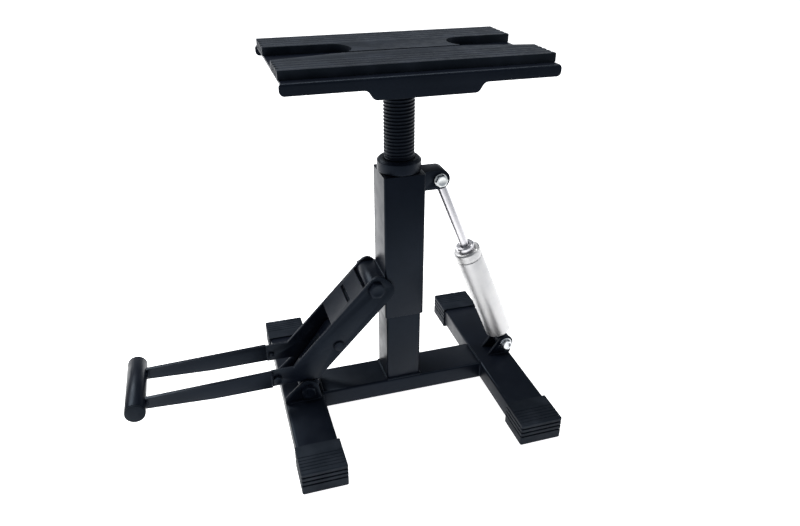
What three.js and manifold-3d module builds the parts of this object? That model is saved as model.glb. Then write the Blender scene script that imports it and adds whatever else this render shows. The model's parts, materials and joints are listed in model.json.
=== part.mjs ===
// Foot-pedal lift stand: an H-shaped base, a telescoping square post, a pedal lever with an
// over-centre link, an oil damper and a screw-adjusted platform. Millimetres, +Z up.
// The stand is modelled raised and locked. X runs along the cross beam with the pedal at -X,
// Y runs along the foot tubes, and the post's axis is at X = 0, Y = 0 inside the group.
import * as THREE from 'three';
import { mergeVertices } from 'three/addons/utils/BufferGeometryUtils.js';
import Module from 'manifold-3d';

const wasm = await Module();
wasm.setup();

// ---- driving dimensions -------------------------------------------------------------------
const TUBE_W = 50; // foot tubes and cross beam, width
const TUBE_H = 25; // foot tubes and cross beam, height
const TUBE_WALL = 2;
const FLOOR_GAP = 4; // sole thickness of the rubber caps
const DECK = FLOOR_GAP + TUBE_H; // top of the tubes
const FOOT_X = 135; // foot tube centre lines
const BASE_HALF_Y = 159.5;

const CAP_W = 54;
const CAP_H = 31;
const CAP_LENGTH = 45;
const CAP_END_WALL = 3.5;

const POST_W = 45;
const POST_WALL = 2.5;
const POST_TOP = 200;
const SLEEVE_W = 50;
const SLEEVE_WALL = 2;
const SLEEVE_BOTTOM = 127;
const SLEEVE_TOP = 315;

const SCREW_R = 18;
const SCREW_BOTTOM = 235;
const RING_R = 26;
const RING_BOTTOM = 315.4;
const RING_TOP = 331;
const RING_CHAMFER = 3;
const SCREW_CLEARANCE = 0.6;

const PLATE_HALF_X = 143;
const PLATE_HALF_Y = 96;
const PLATE_TOP = 446;
const PLATE_SHEET = 3;
const FLANGE_BOTTOM = 434;
const SKIRT_BOTTOM = 424;
const SKIRT_HALF = 52; // half length of the flange's lowest edge
const SKIRT_SHOULDER = 64; // where its slanted sides meet the flange
const PAD_HALF_X = 142;
const PAD_HALF_Y = 83.5;
const PAD_TOP = 455;
// hollows through the pad, open at its ends: u runs outward from PAD_MIDDLE, halves are along Y
const PAD_MIDDLE = 2.5;
const HOLLOW_TIP = { u: 54.5, length: 20, half: 25, y: 4 };
const HOLLOW_END = { half: 33, y: -3 };
const PAD_GROOVE = { y0: -20, y1: -15.5, half: 68, floor: 452 }; // between front ridge and middle

// pivots in the XZ plane: link on the base, link on the lever, lever on the sleeve, damper ends
const LINK_FOOT = { x: -130, z: 44 };
const LINK_HEAD = { x: -87, z: 101.5 };
const LEVER_PIVOT = { x: -37.5, z: 175 };
const DAMPER_HEAD = { x: 47.5, z: 301 };
const DAMPER_FOOT = { x: 152.5, z: 45 };

const LEVER_ANGLE = THREE.MathUtils.degToRad(46.5); // slope of the lever's channel
const LEVER_HALF = 29.3; // outer half width
const LEVER_SHEET = 4;
const WEB_RISE = 12.7; // from the lever pivot up to the web's outer face
const LEVER_DROP = 24.3; // from the lever pivot down to the side plates' lower edge
const LEVER_TIP = 16.5; // side plates' reach past the lever pivot
const HEEL_X = -173; // left end of the side plates
const HEEL_BOTTOM = 57.5;
const HEEL_TOP = 80.3;
const BAR = { x: -333, z: 70.3, r: 12, half: 47.5 };
const ARM_SHEET = 5;
const ARM_HALF = 31.7; // outer half width over the arms
const ARM_BOLT = { x: -166.5, z: 67 };

const EAR_INNER = 29.8;
const EAR_SHEET = 4;
const EAR_LOBE = 14.5;

const DAMPER_R = 17.5;
const DAMPER_ROD_R = 6;

// ---- geometry helpers ---------------------------------------------------------------------
function toSolid(geometry) {
  geometry.deleteAttribute('normal');
  geometry.deleteAttribute('uv');
  const merged = mergeVertices(geometry, 1e-4);
  const triVerts = [];
  for (let i = 0; i < merged.index.count; i += 3) {
    const [a, b, c] = [0, 1, 2].map((k) => merged.index.getX(i + k));
    if (a !== b && b !== c && c !== a) triVerts.push(a, b, c);
  }
  return new wasm.Manifold(new wasm.Mesh({
    numProp: 3,
    vertProperties: new Float32Array(merged.attributes.position.array),
    triVerts: new Uint32Array(triVerts),
  }));
}

function toGeometry(solid) {
  const mesh = solid.getMesh();
  const geometry = new THREE.BufferGeometry();
  geometry.setAttribute('position', new THREE.BufferAttribute(mesh.vertProperties, 3));
  geometry.setIndex(new THREE.BufferAttribute(mesh.triVerts, 1));
  geometry.computeVertexNormals();
  return geometry;
}

function extruded(shape, depth, segments) {
  return new THREE.ExtrudeGeometry(shape, { depth, bevelEnabled: false, curveSegments: segments });
}

// a shape drawn in X and Z, extruded along Y from y0 to y1
function plateXZ(shape, y0, y1, segments = 10) {
  return toSolid(extruded(shape, y1 - y0, segments).rotateX(Math.PI / 2).translate(0, y1, 0));
}

// a shape drawn in Y and Z, extruded along X from x0 to x1
function plateYZ(shape, x0, x1, segments = 10) {
  const turn = new THREE.Matrix4().makeBasis(
    new THREE.Vector3(0, 1, 0), new THREE.Vector3(0, 0, 1), new THREE.Vector3(1, 0, 0));
  return toSolid(extruded(shape, x1 - x0, segments).applyMatrix4(turn).translate(x0, 0, 0));
}

// a shape drawn in X and Y, extruded along Z from z0 to z1
function plateXY(shape, z0, z1, segments = 10) {
  return toSolid(extruded(shape, z1 - z0, segments).translate(0, 0, z0));
}

function box(x0, x1, y0, y1, z0, z1) {
  const geometry = new THREE.BoxGeometry(x1 - x0, y1 - y0, z1 - z0);
  return toSolid(geometry.translate((x0 + x1) / 2, (y0 + y1) / 2, (z0 + z1) / 2));
}

function cylinderY(at, r, y0, y1, segments = 32) {
  const geometry = new THREE.CylinderGeometry(r, r, y1 - y0, segments);
  return toSolid(geometry.translate(at.x, (y0 + y1) / 2, at.z));
}

function cylinderZ(r, z0, z1, segments = 32) {
  const geometry = new THREE.CylinderGeometry(r, r, z1 - z0, segments);
  return toSolid(geometry.rotateX(Math.PI / 2).translate(0, 0, (z0 + z1) / 2));
}

function hexY(at, acrossFlats, y0, y1) {
  return cylinderY(at, acrossFlats / Math.sqrt(3), y0, y1, 6);
}

// a profile of [radius, height] points turned round the Z axis
function turned(profile, segments = 40) {
  const points = profile.map(([r, z]) => new THREE.Vector2(r, z));
  points.push(points[0].clone());
  return toSolid(new THREE.LatheGeometry(points, segments).rotateX(Math.PI / 2));
}

function ringY(at, outer, inner, y0, y1, segments = 32) {
  return cylinderY(at, outer, y0, y1, segments).subtract(
    cylinderY(at, inner, y0 - 1, y1 + 1, segments));
}

function rectangle(x0, x1, y0, y1, radius = 0) {
  const shape = new THREE.Shape();
  if (radius === 0) {
    shape.moveTo(x0, y0);
    shape.lineTo(x1, y0);
    shape.lineTo(x1, y1);
    shape.lineTo(x0, y1);
    shape.closePath();
    return shape;
  }
  shape.moveTo(x0 + radius, y0);
  shape.lineTo(x1 - radius, y0);
  shape.absarc(x1 - radius, y0 + radius, radius, -Math.PI / 2, 0);
  shape.lineTo(x1, y1 - radius);
  shape.absarc(x1 - radius, y1 - radius, radius, 0, Math.PI / 2);
  shape.lineTo(x0 + radius, y1);
  shape.absarc(x0 + radius, y1 - radius, radius, Math.PI / 2, Math.PI);
  shape.lineTo(x0, y0 + radius);
  shape.absarc(x0 + radius, y0 + radius, radius, Math.PI, Math.PI * 1.5);
  return shape;
}

function tubeSection(x0, x1, y0, y1, wall, radius = 3) {
  const shape = rectangle(x0, x1, y0, y1, radius);
  shape.holes.push(rectangle(x0 + wall, x1 - wall, y0 + wall, y1 - wall, radius - wall / 2));
  return shape;
}

// ---- materials ----------------------------------------------------------------------------
const coat = { color: 0x0d0f14, roughness: 0.42, metalness: 0.1 };
const rubber = { color: 0x101012, roughness: 0.85, metalness: 0 };
const zinc = { color: 0xc4c8c8, roughness: 0.3, metalness: 1 };
const brushed = { color: 0xb9b7b4, roughness: 0.35, metalness: 1 };
const chrome = { color: 0xdcdcde, roughness: 0.12, metalness: 1 };
const bronze = { color: 0x9a7a4a, roughness: 0.5, metalness: 1 };

const stand = new THREE.Group();

function add(name, solid, finish, parent = stand) {
  const mesh = new THREE.Mesh(toGeometry(solid), new THREE.MeshStandardMaterial(finish));
  mesh.name = name;
  parent.add(mesh);
}

// near is the side towards -Y, far the side towards +Y
const sides = [['near', -1], ['far', 1]];

function between(side, inner, outer) {
  return side < 0 ? [-outer, -inner] : [inner, outer];
}

// ---- base ---------------------------------------------------------------------------------
function footTube(x) {
  const half = BASE_HALF_Y - CAP_END_WALL - 0.5;
  const section = tubeSection(x - TUBE_W / 2, x + TUBE_W / 2, FLOOR_GAP, DECK, TUBE_WALL);
  return plateXZ(section, -half, half, 4);
}

function crossBeam() {
  const reach = FOOT_X - TUBE_W / 2;
  const section = tubeSection(-TUBE_W / 2, TUBE_W / 2, FLOOR_GAP, DECK, TUBE_WALL);
  return plateYZ(section, -reach, reach, 4);
}

function innerPost() {
  const half = POST_W / 2;
  return plateXY(tubeSection(-half, half, -half, half, POST_WALL), DECK, POST_TOP, 4);
}

function footCap(x, side) {
  const pocketGap = 0.3;
  const end = BASE_HALF_Y;
  const outer = rectangle(x - CAP_W / 2, x + CAP_W / 2, 0, CAP_H, 3);
  const [y0, y1] = between(side, end - CAP_LENGTH, end);
  const [p0, p1] = between(side, end - CAP_LENGTH - 1, end - CAP_END_WALL);
  const pocketHalf = TUBE_W / 2 + pocketGap;
  const pocket = box(x - pocketHalf, x + pocketHalf, p0, p1, FLOOR_GAP - pocketGap, DECK + pocketGap);
  return plateXZ(outer, y0, y1, 3).subtract(pocket);
}

function earPlate() {
  const left = -(FOOT_X + TUBE_W / 2);
  const lobeStart = THREE.MathUtils.degToRad(131);
  const shape = new THREE.Shape();
  shape.moveTo(left, DECK);
  shape.lineTo(left + 47, DECK);
  shape.lineTo(LINK_FOOT.x + EAR_LOBE, LINK_FOOT.z);
  shape.absarc(LINK_FOOT.x, LINK_FOOT.z, EAR_LOBE, 0, lobeStart);
  shape.lineTo(left, DECK + 7);
  shape.closePath();
  return shape;
}

function pivotEar(side) {
  const [y0, y1] = between(side, EAR_INNER, EAR_INNER + EAR_SHEET);
  const boltHole = cylinderY(LINK_FOOT, 5.3, y0 - 1, y1 + 1, 24);
  return plateXZ(earPlate(), y0, y1, 14).subtract(boltHole);
}

function stopPin(side) {
  const [y0, y1] = between(side, LEVER_HALF - LEVER_SHEET + 0.4, EAR_INNER);
  return cylinderY({ x: -119.5, z: 51.5 }, 5, y0, y1, 24);
}

function footLug(side) {
  const shape = new THREE.Shape();
  const r = 11;
  shape.moveTo(127, DECK);
  shape.lineTo(160, DECK);
  shape.absarc(DAMPER_FOOT.x, DAMPER_FOOT.z, r,
    THREE.MathUtils.degToRad(-10), THREE.MathUtils.degToRad(140));
  shape.closePath();
  const [y0, y1] = between(side, 9, 12);
  return plateXZ(shape, y0, y1, 16).subtract(cylinderY(DAMPER_FOOT, 4.2, y0 - 1, y1 + 1, 24));
}

// hex bolt along Y: head on the near side, shank running past the far side by the nut's height
function hexBolt(at, shank, half, flats, headHeight) {
  const head = hexY(at, flats, -half - headHeight, -half);
  return head.add(cylinderY(at, shank, -half - 0.1, half + 9, 24));
}

function hexNut(at, bore, half, flats, height) {
  return hexY(at, flats, half, half + height).subtract(
    cylinderY(at, bore, half - 1, half + height + 1, 24));
}

function buildBase() {
  add('left_foot_tube', footTube(-FOOT_X), coat);
  add('right_foot_tube', footTube(FOOT_X), coat);
  add('cross_beam', crossBeam(), coat);
  add('inner_post', innerPost(), coat);
  for (const [name, side] of sides) {
    add(`foot_cap_left_${name}`, footCap(-FOOT_X, side), rubber);
    add(`foot_cap_right_${name}`, footCap(FOOT_X, side), rubber);
    add(`pivot_ear_${name}`, pivotEar(side), coat);
    add(`stop_pin_${name}`, stopPin(side), coat);
    add(`damper_foot_lug_${name}`, footLug(side), coat);
  }
  const earOuter = EAR_INNER + EAR_SHEET + 0.1;
  add('link_pivot_bolt', hexBolt(LINK_FOOT, 5, earOuter, 16, 6), coat);
  add('link_pivot_nut', hexNut(LINK_FOOT, 5.2, earOuter, 16, 7), coat);
  add('damper_lower_bolt', hexBolt(DAMPER_FOOT, 4, 13.7, 13, 5.3), zinc);
  add('damper_lower_washer', ringY(DAMPER_FOOT, 8.5, 4.2, -13.6, -12.1, 28), zinc);
  add('damper_lower_nut', hexNut(DAMPER_FOOT, 4.2, 12.1, 13, 6.5), zinc);
}

// ---- sleeve -------------------------------------------------------------------------------
function outerSleeve() {
  const half = SLEEVE_W / 2;
  const section = tubeSection(-half, half, -half, half, SLEEVE_WALL);
  return plateXY(section, SLEEVE_BOTTOM, SLEEVE_TOP, 4);
}

function sleeveNutBlock() {
  const half = SLEEVE_W / 2 - SLEEVE_WALL - 0.2;
  return plateXY(rectangle(-half, half, -half, half, 2), SLEEVE_TOP - 15, SLEEVE_TOP, 4).subtract(
    cylinderZ(SCREW_R + SCREW_CLEARANCE, SLEEVE_TOP - 16, SLEEVE_TOP + 1, 48));
}

function leverPivotBoss() {
  const half = LEVER_HALF - LEVER_SHEET - 0.3;
  const r = 12;
  const barrel = cylinderY(LEVER_PIVOT, r, -half, half, 40);
  const saddle = box(LEVER_PIVOT.x, -SLEEVE_W / 2, -half, half,
    LEVER_PIVOT.z - r, LEVER_PIVOT.z + r);
  return barrel.add(saddle).subtract(cylinderY(LEVER_PIVOT, 6.2, -half - 1, half + 1, 32));
}

function damperUpperBracket() {
  const outer = 12;
  const inner = 9.5;
  const { x, z } = DAMPER_HEAD;
  const face = SLEEVE_W / 2;
  const shape = new THREE.Shape();
  shape.moveTo(face, z - outer);
  shape.lineTo(x, z - outer);
  shape.absarc(x, z, outer, -Math.PI / 2, Math.PI / 2);
  shape.lineTo(face, z + outer);
  shape.closePath();
  const hollow = new THREE.Shape();
  hollow.moveTo(face - 1, z - outer - 1);
  hollow.lineTo(x + outer + 1, z - outer - 1);
  hollow.lineTo(x + outer + 1, z - 3);
  hollow.lineTo(x + Math.sqrt(inner * inner - 9), z - 3);
  hollow.absarc(x, z, inner, Math.asin(-3 / inner), Math.PI / 2);
  hollow.lineTo(face - 1, z + inner);
  hollow.closePath();
  const slot = cylinderY(DAMPER_HEAD, 4.6, -outer - 1, outer + 1, 24)
    .add(cylinderY({ x: x - 4.2, z: z - 0.8 }, 4.6, -outer - 1, outer + 1, 24))
    .add(box(x - 4.2, x, -outer - 1, outer + 1, z - 4.6, z + 4.3));
  return plateXZ(shape, -outer, outer, 16)
    .subtract(plateXZ(hollow, -inner, inner, 16))
    .subtract(slot);
}

function lockRing() {
  const bore = SCREW_R + SCREW_CLEARANCE;
  return turned([
    [bore, RING_BOTTOM],
    [RING_R - 1, RING_BOTTOM],
    [RING_R, RING_BOTTOM + 1],
    [RING_R, RING_TOP - RING_CHAMFER],
    [RING_R - RING_CHAMFER, RING_TOP],
    [bore, RING_TOP],
  ], 48);
}

function buildSleeve() {
  add('outer_sleeve', outerSleeve(), coat);
  add('sleeve_nut_block', sleeveNutBlock(), coat);
  add('lever_pivot_boss', leverPivotBoss(), coat);
  add('damper_upper_bracket', damperUpperBracket(), coat);
  add('lock_ring', lockRing(), coat);
}

// ---- screw and platform -------------------------------------------------------------------
function flangeShape() {
  const r = 5;
  const shape = new THREE.Shape();
  shape.moveTo(-PLATE_HALF_X + 2, PLATE_TOP);
  shape.lineTo(-PLATE_HALF_X, PLATE_TOP - 3);
  shape.lineTo(-PLATE_HALF_X, FLANGE_BOTTOM + r);
  shape.absarc(-PLATE_HALF_X + r, FLANGE_BOTTOM + r, r, Math.PI, Math.PI * 1.5);
  shape.lineTo(-SKIRT_SHOULDER, FLANGE_BOTTOM);
  shape.quadraticCurveTo(-SKIRT_SHOULDER + 4, FLANGE_BOTTOM, -SKIRT_SHOULDER + 6, FLANGE_BOTTOM - 3);
  shape.lineTo(-SKIRT_HALF - 3, SKIRT_BOTTOM + 2.5);
  shape.quadraticCurveTo(-SKIRT_HALF - 1, SKIRT_BOTTOM, -SKIRT_HALF + 3, SKIRT_BOTTOM);
  shape.lineTo(SKIRT_HALF - 3, SKIRT_BOTTOM);
  shape.quadraticCurveTo(SKIRT_HALF + 1, SKIRT_BOTTOM, SKIRT_HALF + 3, SKIRT_BOTTOM + 2.5);
  shape.lineTo(SKIRT_SHOULDER - 6, FLANGE_BOTTOM - 3);
  shape.quadraticCurveTo(SKIRT_SHOULDER - 4, FLANGE_BOTTOM, SKIRT_SHOULDER, FLANGE_BOTTOM);
  shape.lineTo(PLATE_HALF_X - r, FLANGE_BOTTOM);
  shape.absarc(PLATE_HALF_X - r, FLANGE_BOTTOM + r, r, -Math.PI / 2, 0);
  shape.lineTo(PLATE_HALF_X, PLATE_TOP - 3);
  shape.lineTo(PLATE_HALF_X - 2, PLATE_TOP);
  shape.closePath();
  return shape;
}

function platformPlate() {
  const deck = box(-PLATE_HALF_X + 2, PLATE_HALF_X - 2, -PLATE_HALF_Y + 1, PLATE_HALF_Y - 1,
    PLATE_TOP - PLATE_SHEET, PLATE_TOP);
  const front = plateXZ(flangeShape(), -PLATE_HALF_Y, -PLATE_HALF_Y + PLATE_SHEET, 5);
  const rear = plateXZ(flangeShape(), PLATE_HALF_Y - PLATE_SHEET, PLATE_HALF_Y, 5);
  return deck.add(front).add(rear);
}

// outline of one hollow: a half ellipse towards the middle, widening to the pad's end
function hollowShape(side) {
  const at = (u) => PAD_MIDDLE + side * u;
  const tip = HOLLOW_TIP;
  const end = PAD_HALF_X + PAD_MIDDLE + 2;
  const shape = new THREE.Shape();
  shape.moveTo(at(end), HOLLOW_END.y + HOLLOW_END.half);
  shape.lineTo(at(tip.u + tip.length), tip.y + tip.half);
  shape.absellipse(at(tip.u + tip.length), tip.y, tip.length, tip.half,
    Math.PI / 2, side > 0 ? Math.PI * 1.5 : -Math.PI / 2, side < 0);
  shape.lineTo(at(end), HOLLOW_END.y - HOLLOW_END.half);
  shape.closePath();
  return shape;
}

function rubberPad() {
  const groove = PAD_GROOVE;
  return box(-PAD_HALF_X, PAD_HALF_X, -PAD_HALF_Y, PAD_HALF_Y, PLATE_TOP, PAD_TOP)
    .subtract(plateXY(hollowShape(-1), PLATE_TOP - 1, PAD_TOP + 1, 14))
    .subtract(plateXY(hollowShape(1), PLATE_TOP - 1, PAD_TOP + 1, 14))
    .subtract(box(PAD_MIDDLE - groove.half, PAD_MIDDLE + groove.half,
      groove.y0, groove.y1, groove.floor, PAD_TOP + 1));
}

function buildPlatform() {
  const discTop = PLATE_TOP - PLATE_SHEET;
  const discBottom = discTop - 4;
  add('threaded_rod', cylinderZ(SCREW_R, SCREW_BOTTOM, discBottom, 48), coat);
  add('mount_disc', cylinderZ(34, discBottom, discTop, 48), coat);
  add('platform_plate', platformPlate(), coat);
  add('rubber_pad', rubberPad(), rubber);
}

// ---- pedal lever --------------------------------------------------------------------------
// a point t along the lever's channel from its pivot, d above it, square to the channel
function onLever(t, d) {
  const c = Math.cos(LEVER_ANGLE);
  const s = Math.sin(LEVER_ANGLE);
  return { x: LEVER_PIVOT.x + t * c - d * s, z: LEVER_PIVOT.z + t * s + d * c };
}

// how far along the channel a line d above the pivot reaches the height z
function leverAtHeight(z, d) {
  return (z - LEVER_PIVOT.z - d * Math.cos(LEVER_ANGLE)) / Math.sin(LEVER_ANGLE);
}

function sidePlateShape() {
  const tipR = 11;
  const lowerR = 14;
  const right = Math.PI / 2;
  const heelCorner = onLever(leverAtHeight(HEEL_TOP, WEB_RISE), WEB_RISE);
  const elbow = onLever(leverAtHeight(HEEL_BOTTOM, -LEVER_DROP), -LEVER_DROP);
  const afterElbow = onLever(leverAtHeight(HEEL_BOTTOM, -LEVER_DROP) + 5, -LEVER_DROP);
  const upper = onLever(LEVER_TIP - tipR, WEB_RISE - tipR);
  const lower = onLever(LEVER_TIP - lowerR, -LEVER_DROP + lowerR);
  const shape = new THREE.Shape();
  shape.moveTo(HEEL_X, HEEL_BOTTOM);
  shape.lineTo(elbow.x - 5, HEEL_BOTTOM);
  shape.quadraticCurveTo(elbow.x, elbow.z, afterElbow.x, afterElbow.z);
  shape.absarc(lower.x, lower.z, lowerR, LEVER_ANGLE - right, LEVER_ANGLE);
  shape.absarc(upper.x, upper.z, tipR, LEVER_ANGLE, LEVER_ANGLE + right);
  shape.lineTo(heelCorner.x, heelCorner.z);
  shape.lineTo(HEEL_X, HEEL_TOP);
  shape.closePath();
  return shape;
}

// a rectangle lying along the channel, from t0 to t1 and from d0 to d1
function alongLever(t0, t1, d0, d1) {
  const corners = [onLever(t0, d0), onLever(t1, d0), onLever(t1, d1), onLever(t0, d1)];
  const shape = new THREE.Shape();
  shape.moveTo(corners[0].x, corners[0].z);
  for (const corner of corners.slice(1)) shape.lineTo(corner.x, corner.z);
  shape.closePath();
  return shape;
}

function leverChannel() {
  const webTop = -9.5;
  const webBottom = -70;
  const slotHalf = 20;
  const inner = LEVER_HALF - LEVER_SHEET;
  let body = plateXZ(sidePlateShape(), -LEVER_HALF, -inner, 10)
    .add(plateXZ(sidePlateShape(), inner, LEVER_HALF, 10))
    .add(plateXZ(alongLever(webBottom, webTop, WEB_RISE - LEVER_SHEET, WEB_RISE),
      -LEVER_HALF, LEVER_HALF));
  body = body.subtract(plateXZ(alongLever(-37, -32, 0, WEB_RISE + 5), -slotHalf, slotHalf));
  body = body.subtract(cylinderY(LEVER_PIVOT, 6.2, -LEVER_HALF - 1, LEVER_HALF + 1, 28));
  body = body.subtract(cylinderY(LINK_HEAD, 5.2, -LEVER_HALF - 1, LEVER_HALF + 1, 28));
  return body.subtract(cylinderY(ARM_BOLT, 3.2, -LEVER_HALF - 1, LEVER_HALF + 1, 20));
}

function pedalArm(side) {
  const reach = BAR.x + BAR.r - 2;
  const heel = HEEL_X;
  const shape = new THREE.Shape();
  shape.moveTo(reach, 60.9);
  shape.lineTo(heel - 70, 56.9);
  shape.lineTo(heel, HEEL_BOTTOM);
  shape.lineTo(heel, HEEL_TOP);
  shape.lineTo(reach, 75.2);
  shape.closePath();
  const [y0, y1] = between(side, ARM_HALF - ARM_SHEET, ARM_HALF);
  return plateXZ(shape, y0, y1).subtract(cylinderY(BAR, BAR.r + 0.3, y0 - 1, y1 + 1, 32));
}

function linkPin(side) {
  const head = LEVER_HALF + 0.1;
  const [y0, y1] = between(side, 22, head + 0.5);
  const [h0, h1] = between(side, head, head + 2);
  return cylinderY(LINK_HEAD, 5, y0, y1, 24).add(cylinderY(LINK_HEAD, 6.5, h0, h1, 24));
}

function armBolt(side) {
  const face = LEVER_HALF + 0.1;
  const inner = LEVER_HALF - LEVER_SHEET - 0.1;
  const [h0, h1] = between(side, face, face + 3.5);
  const [s0, s1] = between(side, inner - 1.5, face + 0.5);
  return hexY(ARM_BOLT, 10, h0, h1).add(cylinderY(ARM_BOLT, 3, s0, s1, 20));
}

function barPlug(side) {
  const [y0, y1] = between(side, BAR.half + 0.1, BAR.half + 2.5);
  const [s0, s1] = between(side, BAR.half - 8, BAR.half + 0.2);
  return cylinderY(BAR, BAR.r - 0.2, y0, y1, 32).add(cylinderY(BAR, BAR.r - 2.3, s0, s1, 32));
}

function buildLever() {
  add('lever_channel', leverChannel(), coat);
  add('foot_bar', ringY(BAR, BAR.r, BAR.r - 2, -BAR.half, BAR.half, 32), coat);
  for (const [name, side] of sides) {
    add(`pedal_arm_${name}`, pedalArm(side), coat);
    add(`foot_bar_plug_${name}`, barPlug(side), rubber);
    add(`link_pin_${name}`, linkPin(side), coat);
    add(`arm_bolt_${name}`, armBolt(side), coat);
  }
  add('lever_pivot_bolt', hexBolt(LEVER_PIVOT, 6, LEVER_HALF + 0.1, 18, 6), coat);
  add('lever_pivot_nut', hexNut(LEVER_PIVOT, 6.2, LEVER_HALF + 0.1, 18, 8), coat);
}

// ---- inner link ---------------------------------------------------------------------------
function toggleLink() {
  const outer = 21;
  const sheet = 5;
  const r = 10;
  const dx = LINK_HEAD.x - LINK_FOOT.x;
  const dz = LINK_HEAD.z - LINK_FOOT.z;
  const tilt = Math.atan2(dz, dx);
  const right = Math.PI / 2;
  const shape = new THREE.Shape();
  shape.absarc(LINK_FOOT.x, LINK_FOOT.z, r, tilt + right, tilt + 3 * right);
  shape.absarc(LINK_HEAD.x, LINK_HEAD.z, r, tilt - right, tilt + right);
  shape.closePath();
  let link = plateXZ(shape, -outer, outer, 14);
  link = link.subtract(box(-200, 0, -outer + sheet, outer - sheet, 0, 200).intersect(
    cylinderY(mid(LINK_FOOT, LINK_HEAD), 21, -outer, outer, 32)));
  link = link.subtract(cylinderY(LINK_FOOT, 6.7, -outer - 1, outer + 1, 28));
  return link.subtract(cylinderY(LINK_HEAD, 5.2, -outer - 1, outer + 1, 28));
}

function mid(a, b) {
  return { x: (a.x + b.x) / 2, z: (a.z + b.z) / 2 };
}

function buildLink() {
  add('toggle_link', toggleLink(), coat);
  add('link_bush', ringY(LINK_FOOT, 6.5, 5.2, -22, 22, 28), bronze);
}

// ---- damper -------------------------------------------------------------------------------
// drawn upright with its lower eye at the origin, then tilted towards its upper end
function buildDamper() {
  const dx = DAMPER_HEAD.x - DAMPER_FOOT.x;
  const dz = DAMPER_HEAD.z - DAMPER_FOOT.z;
  const length = Math.hypot(dx, dz);
  const damper = new THREE.Group();
  damper.position.set(DAMPER_FOOT.x, 0, DAMPER_FOOT.z);
  damper.rotation.y = Math.atan2(dx, dz);
  stand.add(damper);
  const foot = { x: 0, z: 0 };
  const head = { x: 0, z: length };
  const bottom = 18.7;
  const mouth = length - 125;
  const bore = DAMPER_R - 2.5;
  const rodBore = DAMPER_ROD_R + 0.3;
  const barrel = turned([
    [0, bottom], [DAMPER_R - 2, bottom], [DAMPER_R, bottom + 2], [DAMPER_R, mouth],
    [bore, mouth], [bore, bottom + 4], [0, bottom + 4],
  ], 48);
  add('damper_body', barrel, brushed, damper);
  const ring = turned([
    [rodBore, mouth - 8], [bore - 0.3, mouth - 8], [bore - 0.3, mouth + 0.3],
    [DAMPER_R, mouth + 0.3], [DAMPER_R, mouth + 11], [DAMPER_R - 2, mouth + 13],
    [rodBore, mouth + 13],
  ], 48);
  add('damper_gland_ring', ring, brushed, damper);
  const nut = turned([
    [rodBore, mouth + 13.3], [12, mouth + 13.3], [12, mouth + 19], [11, mouth + 20.5],
    [rodBore, mouth + 20.5],
  ], 32);
  add('damper_gland_nut', nut, chrome, damper);
  const lowerEye = cylinderY(foot, 10, -8.5, 8.5, 32)
    .add(cylinderZ(7, 4, bottom - 0.3, 24))
    .subtract(cylinderY(foot, 7.2, -10, 10, 28));
  add('damper_lower_eye', lowerEye, coat, damper);
  add('lower_eye_bush', ringY(foot, 7, 4.2, -8.7, 8.7, 28), rubber, damper);
  const rodTop = length - 8.5;
  const rodBottom = 112;
  add('damper_rod', cylinderZ(DAMPER_ROD_R, rodBottom, rodTop, 32), chrome, damper);
  const piston = cylinderZ(bore - 0.4, rodBottom, rodBottom + 12, 32)
    .subtract(cylinderZ(DAMPER_ROD_R + 0.1, rodBottom - 1, rodBottom + 13, 32));
  add('damper_piston', piston, brushed, damper);
  add('damper_rod_eye', ringY(head, 9, 7, -8.5, 8.5, 32)
    .subtract(cylinderZ(DAMPER_ROD_R + 0.1, 0, rodTop + 0.2, 32)), coat, damper);
  add('upper_eye_bush', ringY(head, 6.8, 4.2, -9.2, 9.2, 28), rubber, damper);
  add('damper_upper_bolt', hexBolt(head, 4, 13.9, 13, 5.3), zinc, damper);
  add('damper_upper_washer_near', ringY(head, 8, 4.2, -13.8, -12.3, 28), zinc, damper);
  add('damper_upper_washer_far', ringY(head, 8, 4.2, 12.3, 13.8, 28), zinc, damper);
  add('damper_upper_nut', hexNut(head, 4.2, 13.9, 13, 6.5), zinc, damper);
}

buildBase();
buildSleeve();
buildPlatform();
buildLever();
buildLink();
buildDamper();

// origin at the bottom centre of the stand's bounding box, to the nearest quarter millimetre
const bounds = new THREE.Box3().setFromObject(stand, true);
stand.position.x = -Math.round((bounds.min.x + bounds.max.x) * 2) / 4;

export default stand;
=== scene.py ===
"""Foot-pedal lift stand: detailed pieces, materials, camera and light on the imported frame."""
import bpy
import bmesh
import json
import math
import random
from mathutils import Matrix, Vector


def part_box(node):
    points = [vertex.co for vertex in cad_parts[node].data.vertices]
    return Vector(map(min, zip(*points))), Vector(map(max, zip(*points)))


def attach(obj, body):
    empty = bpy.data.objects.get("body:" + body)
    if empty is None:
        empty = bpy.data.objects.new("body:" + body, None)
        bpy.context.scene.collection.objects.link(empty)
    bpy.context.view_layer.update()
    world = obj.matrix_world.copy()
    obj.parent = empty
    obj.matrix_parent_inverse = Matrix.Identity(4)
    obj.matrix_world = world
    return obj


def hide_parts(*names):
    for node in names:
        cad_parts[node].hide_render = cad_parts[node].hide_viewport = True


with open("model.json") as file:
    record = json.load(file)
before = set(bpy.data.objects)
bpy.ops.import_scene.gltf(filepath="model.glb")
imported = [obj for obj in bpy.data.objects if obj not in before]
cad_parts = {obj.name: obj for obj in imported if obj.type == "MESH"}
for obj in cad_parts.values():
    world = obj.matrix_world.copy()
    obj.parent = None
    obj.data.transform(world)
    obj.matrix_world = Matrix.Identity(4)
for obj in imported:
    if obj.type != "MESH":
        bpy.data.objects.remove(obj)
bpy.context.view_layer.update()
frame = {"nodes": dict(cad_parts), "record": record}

MM = 0.001
SEED = 11

# ---- places, from the frame ---------------------------------------------------------------
RECORD = frame["record"]
BODY = {node: body for body, nodes in RECORD["behaviour"]["bodies"].items() for node in nodes}
SLOT = {part["node"]: part["material_slot"] for part in RECORD["subparts"]}


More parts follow.
